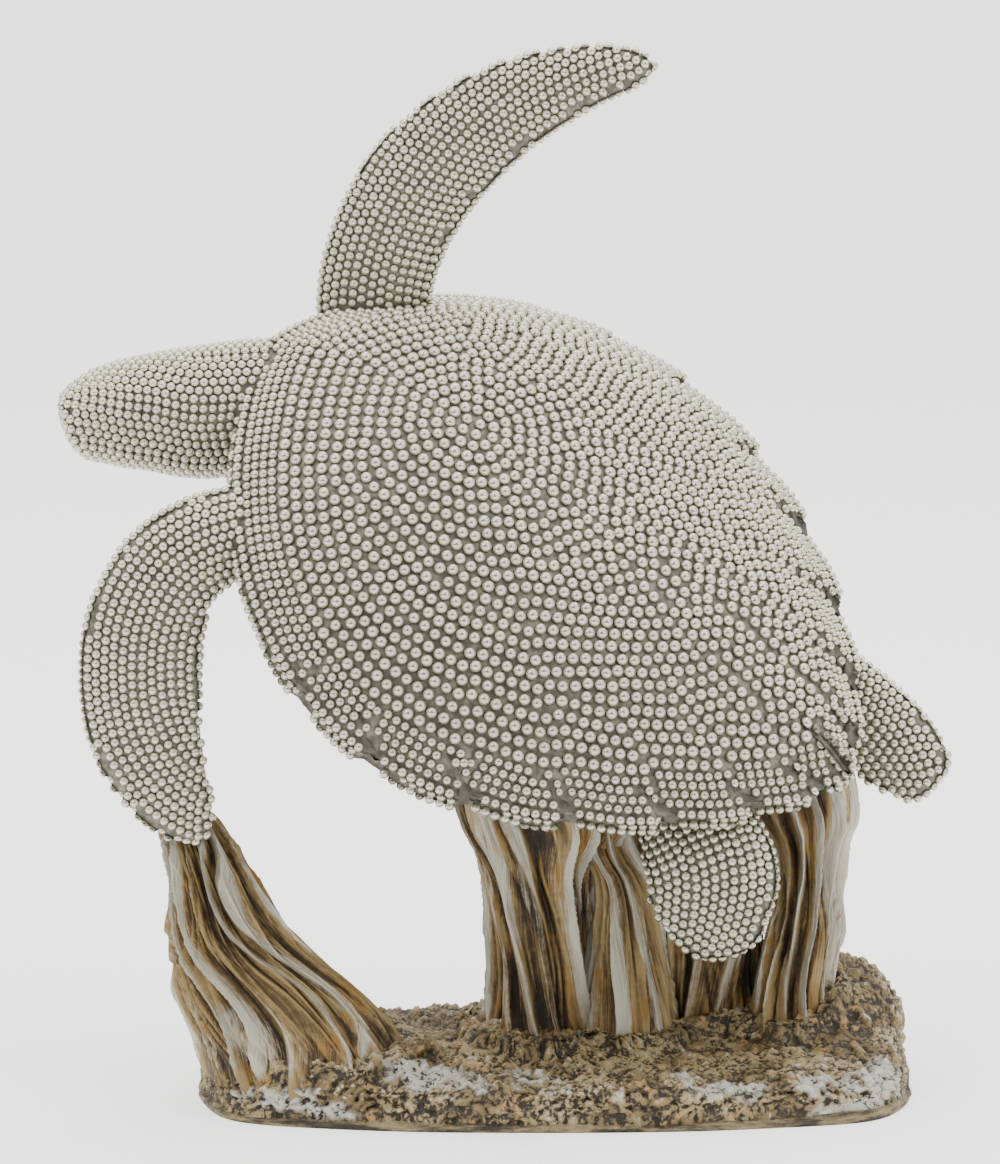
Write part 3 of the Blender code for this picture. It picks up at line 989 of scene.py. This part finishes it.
def rock_piece(material):
    around = 660
    edge = even_outline(around)
    outward = unit(edge)
    rings = []
    relief = []
    worn = []
    wave = np.array([noise.noise(Vector((x * 45.0, y * 45.0, 3.0))) for x, y in edge])
    for step in np.linspace(0.0, 1.0, 66):
        share = 0.03 + 0.955 * (1.0 - (1.0 - step) ** 1.35)
        flat = edge * share
        rounding = 0.72 + 0.28 * math.sqrt(1.0 - share ** 6)
        height = rock_top(flat[:, 0], flat[:, 1]) * rounding
        height += FOOT_BANK * foot_bank(flat[:, 0], flat[:, 1]) * smooth((1.0 - share) * 12.0)
        rings.append(np.column_stack([flat, height]))
        relief.append(1.0)
        worn.append(float(smooth(share * 6.0 - 4.7)))
    top = rock_top(edge[:, 0], edge[:, 1])
    shoulder = LIP_HEIGHT + (top - LIP_HEIGHT) * 0.55
    lip_top = LIP_HEIGHT * (0.50 + 0.50 * wave)
    for share in np.linspace(0.0, 1.0, 18):
        height = shoulder + (lip_top - shoulder) * share
        bulge = 0.0008 * math.sin(share * math.pi)
        rings.append(np.column_stack([edge + outward * bulge, height]))
        relief.append(1.0 - 0.35 * share ** 3)
        worn.append(1.0 - float(smooth(share * 2.2)))
    for height, reach in ((0.86, 0.35), (0.70, 0.75), (0.45, 1.0), (0.2, 1.0), (0.0, 0.85)):
        lip = edge + outward * (LIP_REACH * reach * (1.0 + 0.5 * wave))[:, None]
        rings.append(np.column_stack([lip, lip_top * height]))
        relief.append(0.34 if height > 0.1 else 0.0)
        worn.append(0.0)
    for share in (0.97, 0.5, 0.05):
        rings.append(np.column_stack([edge * share, np.zeros(around)]))
        relief.append(0.0)
        worn.append(0.0)
    rings = np.array(rings)
    normals = grid_normals(rings)
    bumps = np.array([[crust(point) for point in ring] for ring in rings])
    bump = bumps[..., 1]
    amount = np.array(relief)[:, None]
    raised = rings + normals * (bumps.sum(axis=-1) * amount * CRUST_HEIGHT - amount * 0.0003)[..., None]
    raised[..., 2] = np.maximum(raised[..., 2], 0.0)
    raised[-3:, :, 2] = 0.0
    points, faces = closed_form(raised)
    obj = make_piece("rock", points, faces, material, "kelp_base")
    add_values(obj.data, "crest", with_ends(np.clip(0.5 + 0.5 * bump, 0.0, 1.0)))
    add_values(obj.data, "crusty", with_ends(np.broadcast_to(amount, bump.shape)))
    chalk = np.array([[chalk_share(point) for point in ring] for ring in raised])
    add_values(obj.data, "chalk", with_ends(chalk))
    add_values(obj.data, "worn", with_ends(np.broadcast_to(np.array(worn)[:, None], bump.shape)))
    return obj


# A ridged stalk, as the solids have it. Its foot is right and back of the origin in rock lengths, and
# its head is a point of the turtle's frame in shell lengths. A station is the share of the way up,
# then how far the middle is to the right and to the back of the straight line, the half width and
# the half depth, in rock lengths. The ridges' gentle flanks are on the side that lean gives, and fair
# makes the whole stalk paler. The panel is a pale place: its angle, its half size round the stalk,
# its share of the way up, its half size along it, and its strength. Around and along count points.
Stalk = namedtuple("Stalk", "name foot head stations flutes twist lean fair panel around along")

STALKS = [
    Stalk("left", (-0.346, -0.092), (0.188, 0.464, -0.346), [
        (0.00, 0.000, 0.000, 0.143, 0.135),
        (0.14, 0.011, 0.000, 0.146, 0.130),
        (0.34, -0.005, 0.005, 0.130, 0.103),
        (0.52, -0.022, 0.005, 0.095, 0.081),
        (0.70, -0.016, 0.000, 0.070, 0.065),
        (0.86, -0.012, -0.005, 0.054, 0.054),
        (0.96, -0.010, 0.000, 0.041, 0.047),
        (1.00, -0.006, 0.000, 0.028, 0.027),
    ], 14, -0.5, 1, 0.02, (-1.90, 0.26, 0.22, 0.14, 0.34), 410, 134),
    Stalk("middle", (-0.030, 0.038), (-0.034, 0.028, -0.042), [
        (0.00, 0.000, 0.000, 0.092, 0.097),
        (0.07, 0.005, 0.005, 0.077, 0.086),
        (0.19, 0.011, 0.011, 0.072, 0.076),
        (0.31, 0.005, 0.011, 0.077, 0.076),
        (0.42, -0.005, 0.005, 0.089, 0.081),
        (0.52, 0.000, 0.000, 0.130, 0.092),
        (0.66, 0.005, 0.000, 0.143, 0.097),
        (1.00, 0.000, 0.000, 0.130, 0.086),
    ], 12, -2.2, -1, -0.02, (-2.15, 0.32, 0.50, 0.24, 0.30), 360, 116),
    Stalk("leaf", (0.119, 0.027), (-0.083, 0.033, -0.060), [
        (0.00, 0.000, 0.000, 0.073, 0.076),
        (0.14, 0.005, 0.005, 0.064, 0.065),
        (0.28, 0.011, 0.005, 0.049, 0.054),
        (0.41, 0.011, 0.000, 0.038, 0.049),
        (0.55, -0.011, 0.000, 0.035, 0.049),
        (1.00, 0.000, 0.000, 0.043, 0.043),
    ], 7, 0.2, 1, 0.11, (-1.80, 0.22, 0.50, 0.45, 0.20), 220, 100),
    Stalk("back", (0.216, 0.108), (-0.151, -0.144, -0.043), [
        (0.00, 0.000, 0.000, 0.108, 0.076),
        (0.40, 0.000, 0.000, 0.100, 0.065),
        (0.70, 0.000, 0.000, 0.114, 0.070),
        (1.00, 0.000, 0.000, 0.108, 0.065),
    ], 11, 0.2, 1, 0.0, (-0.60, 0.40, 0.50, 0.40, 0.20), 210, 72),
    Stalk("right", (0.343, 0.049), (-0.320, -0.110, -0.045), [
        (0.00, 0.000, 0.000, 0.065, 0.076),
        (0.12, 0.011, 0.000, 0.059, 0.065),
        (0.26, 0.027, 0.000, 0.058, 0.059),
        (0.38, 0.032, 0.000, 0.049, 0.054),
        (0.50, 0.032, 0.000, 0.054, 0.059),
        (0.62, 0.027, 0.000, 0.076, 0.070),
        (1.00, 0.000, 0.000, 0.070, 0.065),
    ], 9, -0.3, -1, 0.02, (-0.55, 0.42, 0.36, 0.34, 0.50), 260, 120),
]
RIDGE_HEIGHT = 0.0052
FINE_HEIGHT = 0.0007
ROOT_SPREAD = 0.0015
FRONT_LIMIT = 0.0445


def sway(angle, way, ease, pace, seed):
    """An even wander over a stalk: how fast it changes round the stalk and up it is given."""
    return np.array([[noise.noise(Vector((math.cos(a) * ease, math.sin(a) * ease, w * pace + seed)))
                      for a in angle] for w in way])


def folds(lane, strength, lean, rise):
    """Sharp ridges at whole lanes, gentle on one flank and steep on the other, from 0 to 1."""
    count = strength.shape[1]
    before = np.floor(lane).astype(int)
    share = lane - before
    step = np.arange(len(lane))[:, None]
    here = strength[step, before % count]
    after = strength[step, (before + 1) % count]
    gentle, steep = (here, after) if lean > 0 else (after, here)
    across = share if lean > 0 else 1.0 - share
    return np.maximum(gentle * (1.0 - across) ** rise, steep * np.exp(-(1.0 - across) / 0.07))


def ridge_strengths(way, count, pace, least, seed):
    """How strong each ridge is at shares of the way up, so that ridges fade in and out."""
    values = np.array([[noise.noise(Vector((ridge * 5.3, w * pace, seed))) for ridge in range(count)]
                       for w in way])
    return least + (1.0 - least) * smooth(0.55 + 1.5 * values)


def lanes(turn, count, seed):
    """How many ridges a place is past, with ridges at uneven distances round the stalk."""
    widths = 0.45 + 1.25 * np.random.default_rng(seed).random(count)
    ends = np.concatenate([[0.0], np.cumsum(widths)]) / widths.sum() * math.tau
    turns = np.floor(turn / math.tau)
    return np.interp(turn - turns * math.tau, ends, np.arange(count + 1)) + turns * count


def stalk_piece(stalk, material, seed):
    """A stalk with sharp ridges, hollow channels between them and fine grooves along them."""
    foot = np.array([stalk.foot[0] * ROCK_LENGTH, stalk.foot[1] * ROCK_LENGTH, 0.0])
    foot[2] = rock_top(foot[0], foot[1]) - FOOT_SUNK
    head = in_world(np.array(stalk.head) * SHELL_LENGTH)
    share = np.linspace(0.0, 1.0, stalk.along)
    values = through(stalk.stations, share)
    way = values[:, 0]
    to_right, to_back, half_width, half_depth = (values[:, 1:] * ROCK_LENGTH).T
    middle = foot + (head - foot) * way[:, None]
    middle += np.column_stack([to_right, to_back, np.zeros_like(way)])
    angle = np.linspace(0.0, math.tau, stalk.around, endpoint=False)
    drift = sway(angle, way, 1.5, 1.7, seed)
    weave = sway(angle, way, 4.0, 3.2, -seed)
    turn = angle[None] + 0.24 * drift + 0.05 * weave
    lane = lanes(turn + 0.16 * np.sin(way * 9.0 + seed)[:, None], stalk.flutes, int(seed * 10.0))
    main = folds(lane, ridge_strengths(way, stalk.flutes, 2.6, 0.30, seed), stalk.lean, 2.3)
    line = folds(lane, np.ones((len(way), stalk.flutes)), stalk.lean, 2.8)
    more = stalk.flutes * 3
    strength = ridge_strengths(way, more, 5.0, 0.0, seed + 20.0)
    middling = folds(turn / math.tau * more + 0.37 + 0.5 * weave, strength, -stalk.lean, 1.6)
    most = stalk.flutes * 6
    strength = ridge_strengths(way, most, 7.0, 0.1, seed + 40.0)
    fine = folds(turn / math.tau * most + 0.8 * weave, strength, stalk.lean, 1.2)
    root = smooth(1.0 - way / 0.22)[:, None]
    sole = smooth(way / 0.13)[:, None]
    middling = middling * (1.0 - main)
    raised = RIDGE_HEIGHT * (0.5 + 0.5 * sole) * (main - 0.52 + 0.40 * middling)
    raised += FINE_HEIGHT * (fine - 0.5)
    raised += ROOT_SPREAD * root * (main - 0.4 + 0.8 * drift)
    turned = angle[None] + (stalk.twist * way)[:, None]
    x = (half_width[:, None] + raised) * np.cos(turned)
    y = (half_depth[:, None] + raised) * np.sin(turned)
    rings = middle[:, None] + np.stack([x, y, np.zeros_like(x)], axis=-1)
    rings[..., 1] = np.maximum(rings[..., 1], -FRONT_LIMIT)
    points, faces = closed_form(rings)
    obj = make_piece("stalk_" + stalk.name, points, faces, material, "kelp_base")
    height = 0.70 * main + 0.44 * middling + 0.24 * fine + stalk.fair
    add_values(obj.data, "crest", with_ends(np.clip(height, 0.0, 1.0)))
    rubbed = (0.40 * line + 0.60 * main) * (0.4 + 0.6 * sole) + stalk.fair
    add_values(obj.data, "ridge", with_ends(np.clip(rubbed, 0.0, 1.0)))
    at, half_angle, up, half_up, strength = stalk.panel
    aside = (turned - at + math.pi) % math.tau - math.pi
    away = np.hypot(aside / half_angle, (way[:, None] - up) / half_up)
    panel = strength * smooth((1.25 + 0.5 * weave - away) / 0.55)
    add_values(obj.data, "panel", with_ends(panel))
    add_values(obj.data, "lane", with_ends(lane + 3.0 * seed))
    add_values(obj.data, "rise", with_ends(np.broadcast_to(way[:, None], lane.shape)))
    return obj


DARK_BROWN = (0.014, 0.009, 0.004)
MID_BROWN = (0.110, 0.066, 0.024)
GOLD_TAN = (0.30, 0.213, 0.090)
ORANGE = (0.28, 0.155, 0.038)
WORN_CREAM = (0.22, 0.183, 0.118)
CREAM_SILVER = (0.47, 0.445, 0.362)


def stalk_material():
    """Champagne silver rubbed over the ridges, with brown and golden streaks in the channels."""
    material, tree, shader = new_material("antique_champagne_kelp")
    lane = value_named(tree, "lane").outputs["Fac"]
    rise = value_named(tree, "rise").outputs["Fac"]
    crest = value_named(tree, "crest").outputs["Fac"]
    ridge = value_named(tree, "ridge").outputs["Fac"]
    panel = value_named(tree, "panel").outputs["Fac"]
    flow = tree.nodes.new("ShaderNodeCombineXYZ")
    tree.links.new(combined(tree, 'MULTIPLY', lane, 13.0), flow.inputs["X"])
    tree.links.new(combined(tree, 'MULTIPLY', rise, 2.6), flow.inputs["Y"])
    streaks = mottle(tree, 1.8, 6.0, flow.outputs["Vector"], 0.72)
    wide = mottle(tree, 0.16, 3.0, flow.outputs["Vector"])
    threads = mottle(tree, 7.0, 3.0, flow.outputs["Vector"], 0.6)
    patches = mottle(tree, 85.0, 3.0)
    grain = mottle(tree, 520.0, 3.0, None, 0.65)
    level = weighted(tree, (crest, 1.25), (streaks, 1.0), (grain, 0.30), (threads, 0.40))
    brown = mixed(tree, ranged(tree, level, 0.94, 1.22), DARK_BROWN, MID_BROWN)
    brown = mixed(tree, ranged(tree, level, 1.12, 1.48), brown, GOLD_TAN)
    low_down = ranged(tree, rise, 0.05, 0.30, 0.16, 0.0)
    foot = combined(tree, 'MULTIPLY', low_down, ranged(tree, wide, 0.45, 0.58))
    warm = ranged(tree, combined(tree, 'ADD', patches, foot), 0.54, 0.68)
    golden = combined(tree, 'MULTIPLY', warm, ranged(tree, level, 1.06, 1.36))
    brown = mixed(tree, golden, brown, ORANGE)
    rubbed = weighted(tree, (ridge, 1.0), (streaks, 0.90), (wide, 1.60), (grain, 0.30),
                      (threads, 0.50), (panel, 1.0))
    silver = ranged(tree, rubbed, 2.04, 2.32)
    scuffs = weighted(tree, (streaks, 1.0), (threads, 0.5), (crest, 0.35))
    cream = mixed(tree, ranged(tree, scuffs, 0.66, 1.02), WORN_CREAM, CREAM_SILVER)
    colour = mixed(tree, silver, brown, cream)
    tree.links.new(colour, shader.inputs["Base Color"])
    tree.links.new(ranged(tree, silver, 0.0, 1.0, 0.15, 0.60), shader.inputs["Metallic"])
    tree.links.new(ranged(tree, streaks, 0.3, 0.7, 0.34, 0.52), shader.inputs["Roughness"])
    shader.inputs["Specular IOR Level"].default_value = 0.35
    bumped(tree, shader, level, 0.7, 0.0006)
    return material


def rock_material():
    """Tan and olive brown crust, dark in its pits and silvered on its high spots."""
    material, tree, shader = new_material("antique_champagne_rock")
    crest = value_named(tree, "crest").outputs["Fac"]
    crusty = value_named(tree, "crusty").outputs["Fac"]
    worn = value_named(tree, "worn").outputs["Fac"]
    chalk = value_named(tree, "chalk").outputs["Fac"]
    patches = mottle(tree, 70.0, 3.0)
    grain = mottle(tree, 800.0, 3.0, None, 0.65)
    curls = combined(tree, 'ABSOLUTE', combined(tree, 'SUBTRACT', mottle(tree, 520.0, 2.0), 0.5), 0.0)
    tan = mixed(tree, ranged(tree, patches, 0.36, 0.62), (0.17, 0.115, 0.043), (0.36, 0.275, 0.138))
    gold = ranged(tree, mottle(tree, 170.0, 2.0), 0.58, 0.68)
    tan = mixed(tree, gold, tan, (0.40, 0.245, 0.095))
    level = weighted(tree, (crest, 0.90), (grain, 1.0), (curls, 1.7))
    colour = mixed(tree, ranged(tree, level, 0.82, 1.12), (0.022, 0.015, 0.007), tan)
    high = weighted(tree, (level, 1.0), (patches, 0.75), (worn, 0.14))
    silver = combined(tree, 'MULTIPLY', ranged(tree, high, 1.70, 1.90), crusty)
    white = combined(tree, 'MULTIPLY', chalk, ranged(tree, level, 0.72, 0.92))
    silver = combined(tree, 'MAXIMUM', silver, white)
    colour = mixed(tree, silver, colour, (0.50, 0.487, 0.43))
    stretch = tree.nodes.new("ShaderNodeMapping")
    stretch.inputs["Scale"].default_value = (1.0, 1.0, 7.0)
    tree.links.new(tree.nodes.new("ShaderNodeTexCoord").outputs["Object"], stretch.inputs["Vector"])
    lines = mottle(tree, 75.0, 4.0, stretch.outputs["Vector"], 0.65)
    lip = mixed(tree, ranged(tree, lines, 0.38, 0.66), (0.022, 0.016, 0.007), (0.27, 0.20, 0.10))
    colour = mixed(tree, ranged(tree, crusty, 0.36, 0.62), lip, colour)
    tree.links.new(colour, shader.inputs["Base Color"])
    tree.links.new(ranged(tree, silver, 0.0, 1.0, 0.05, 0.45), shader.inputs["Metallic"])
    tree.links.new(ranged(tree, grain, 0.3, 0.7, 0.42, 0.60), shader.inputs["Roughness"])
    bumped(tree, shader, level, 0.8, 0.0008)
    return material


# The turtle's pieces

def make_turtle():
    rng = np.random.default_rng(7)
    beads = bead_material()
    wash = wash_material()
    shell = Form("shell", shell_skin())
    limbs = {
        "head": (HEAD, 0.0, HEAD_SKIN_DEPTH),
        "fore_right": (FORE_RIGHT, math.pi, FLIPPER_SKIN_DEPTH),
        "fore_left": (FORE_LEFT, math.pi, FLIPPER_SKIN_DEPTH),
        "hind_right": (HIND_RIGHT, 0.0, FLIPPER_SKIN_DEPTH),
        "hind_left": (HIND_LEFT, 0.0, FLIPPER_SKIN_DEPTH),
    }
    forms = [shell] + [Form(name, limb_skin(stations, depth))
                      for name, (stations, _, depth) in limbs.items()]
    points = []
    faces = []
    for form in forms:
        start = sum(len(part) for part in points)
        points.append(form.points)
        faces += [tuple(index + start for index in face) for face in form.faces]
    make_piece("turtle_skin", np.concatenate(points), faces, wash, "turtle")

    work = Beadwork()
    back = Meridians(dome)
    margin = RIM_ROWS * RIM_PITCH + 0.0002
    places, normals = work.lay(shell, forms[1:], rim_rows(back, rng), RIM_PITCH, EDGE_CLEAR)
    bead_piece("rim_beads", places, normals, RIM_BEAD, beads, rng, 10)
    slit_piece(shell, back, slit_material())
    rows = ring_rows(back, margin, SHELL_PITCH, SHELL_ROW_PITCH, rng)
    spare = spare_places(back, margin + 0.0004, SHELL_PITCH * 0.35)
    places, normals = work.lay(shell, forms[1:], rows, SHELL_PITCH, SHELL_CLEAR, spare)
    bead_piece("shell_beads", places, normals, SHELL_BEAD, beads, rng)
    under = Meridians(belly)
    rows = ring_rows(under, 0.0015, SHELL_PITCH, SHELL_ROW_PITCH, rng)
    angle = np.linspace(0.0, math.tau, 721)
    ends = rim(np.ones_like(angle), angle), belly(np.ones_like(angle), angle)
    for share in (0.92, 0.56, 0.20):
        rows.append(along_line(ends[0] + (ends[1] - ends[0]) * share, SHELL_PITCH, 0.5, True))
    places, normals = work.lay(shell, forms[1:], rows, SHELL_PITCH, SHELL_CLEAR)
    bead_piece("belly_beads", places, normals, SHELL_BEAD, beads, rng, 7)
    for form, (stations, lead, _) in zip(forms[1:], limbs.values()):
        others = [other for other in forms if other is not form]
        rows = limb_rows(stations, LIMB_PITCH, LIMB_ROW_PITCH, lead, rng)
        spare = limb_spare(stations)
        places, normals = work.lay(form, others, rows, LIMB_PITCH, EDGE_CLEAR, spare,
                                   LIMB_PUSH_REACH, LIMB_HOLE)
        # Painted shade: the hind left flipper, which lies under the shell, gets much less painted light
        # on its beads than the other limbs.
        painted_light_lift = 0.10 if form.name == "hind_left" else 0.36
        bead_piece(form.name + "_beads", places, normals, LIMB_BEAD, beads, rng, 10, painted_light_lift)


def make_base():
    rock_piece(rock_material())
    kelp = stalk_material()
    for index, stalk in enumerate(STALKS):
        stalk_piece(stalk, kelp, 1.7 + 4.3 * index)


# Stage

CAMERA_TARGET = Vector((-0.013728, 0.018628, 0.132545))
CAMERA_DISTANCE = 1.5
CAMERA_ELEVATION = math.radians(8.0)
PIXEL = 0.000264
IMAGE_HEIGHT = 1164
SENSOR = 36.0

# Lights: name, place, size and power
LIGHTS = [
    ("key", (-0.9, -0.9, 1.3), 1.1, 9.0),
    ("fill", (1.2, -0.7, 0.9), 1.1, 6.0),
    ("top", (0.1, 0.4, 1.5), 1.4, 14.0),
]


def make_camera():
    data = bpy.data.cameras.new("camera")
    data.sensor_width = SENSOR
    data.lens = SENSOR * CAMERA_DISTANCE / (IMAGE_HEIGHT * PIXEL)
    camera = bpy.data.objects.new("camera", data)
    back = Vector((0.0, -math.cos(CAMERA_ELEVATION), math.sin(CAMERA_ELEVATION)))
    camera.location = CAMERA_TARGET + back * CAMERA_DISTANCE
    camera.rotation_mode = 'QUATERNION'
    camera.rotation_quaternion = (-back).to_track_quat('-Z', 'Y')
    bpy.context.scene.collection.objects.link(camera)
    bpy.context.scene.camera = camera
    return back


def soft_light(name, place, size, power):
    """A square area light that looks at the figurine's middle."""
    data = bpy.data.lights.new(name, 'AREA')
    data.size = size
    data.energy = power
    light = bpy.data.objects.new(name, data)
    light.location = place
    light.rotation_mode = 'QUATERNION'
    light.rotation_quaternion = (CAMERA_TARGET - Vector(place)).to_track_quat('-Z', 'Y')
    bpy.context.scene.collection.objects.link(light)


def make_world(viewer):
    """A pale studio tent that is darker round the viewer."""
    world = bpy.data.worlds.new("studio")
    world.use_nodes = True
    tree = world.node_tree
    background = tree.nodes["Background"]
    direction = tree.nodes.new("ShaderNodeTexCoord").outputs["Generated"]
    dot = tree.nodes.new("ShaderNodeVectorMath")
    dot.operation = 'DOT_PRODUCT'
    tree.links.new(direction, dot.inputs[0])
    dot.inputs[1].default_value = viewer
    near = ranged(tree, dot.outputs["Value"], 0.77, 0.89)
    split = tree.nodes.new("ShaderNodeSeparateXYZ")
    tree.links.new(direction, split.inputs[0])
    height = ranged(tree, split.outputs["Z"], -0.2, 1.0)
    sky = mixed(tree, height, (0.85, 0.84, 0.81), (1.95, 1.94, 1.90))
    colour = mixed(tree, near, sky, (0.07, 0.07, 0.07))
    tree.links.new(colour, background.inputs["Color"])
    bpy.context.scene.world = world


def make_floor():
    points = [(-30.0, -30.0, 0.0), (30.0, -30.0, 0.0), (30.0, 30.0, 0.0), (-30.0, 30.0, 0.0)]
    mesh = bpy.data.meshes.new("floor")
    mesh.from_pydata(points, [], [(0, 1, 2, 3)])
    material, _, shader = new_material("pale_floor")
    shader.inputs["Base Color"].default_value = (0.92, 0.92, 0.92, 1.0)
    shader.inputs["Roughness"].default_value = 0.9
    shader.inputs["Specular IOR Level"].default_value = 0.1
    shader.inputs["Emission Color"].default_value = (1.0, 1.0, 1.0, 1.0)
    shader.inputs["Emission Strength"].default_value = 0.90
    mesh.materials.append(material)
    floor = bpy.data.objects.new("floor", mesh)
    bpy.context.scene.collection.objects.link(floor)


make_turtle()
make_base()
make_floor()
make_world(make_camera())
for name, place, size, power in LIGHTS:
    soft_light(name, place, size, power)
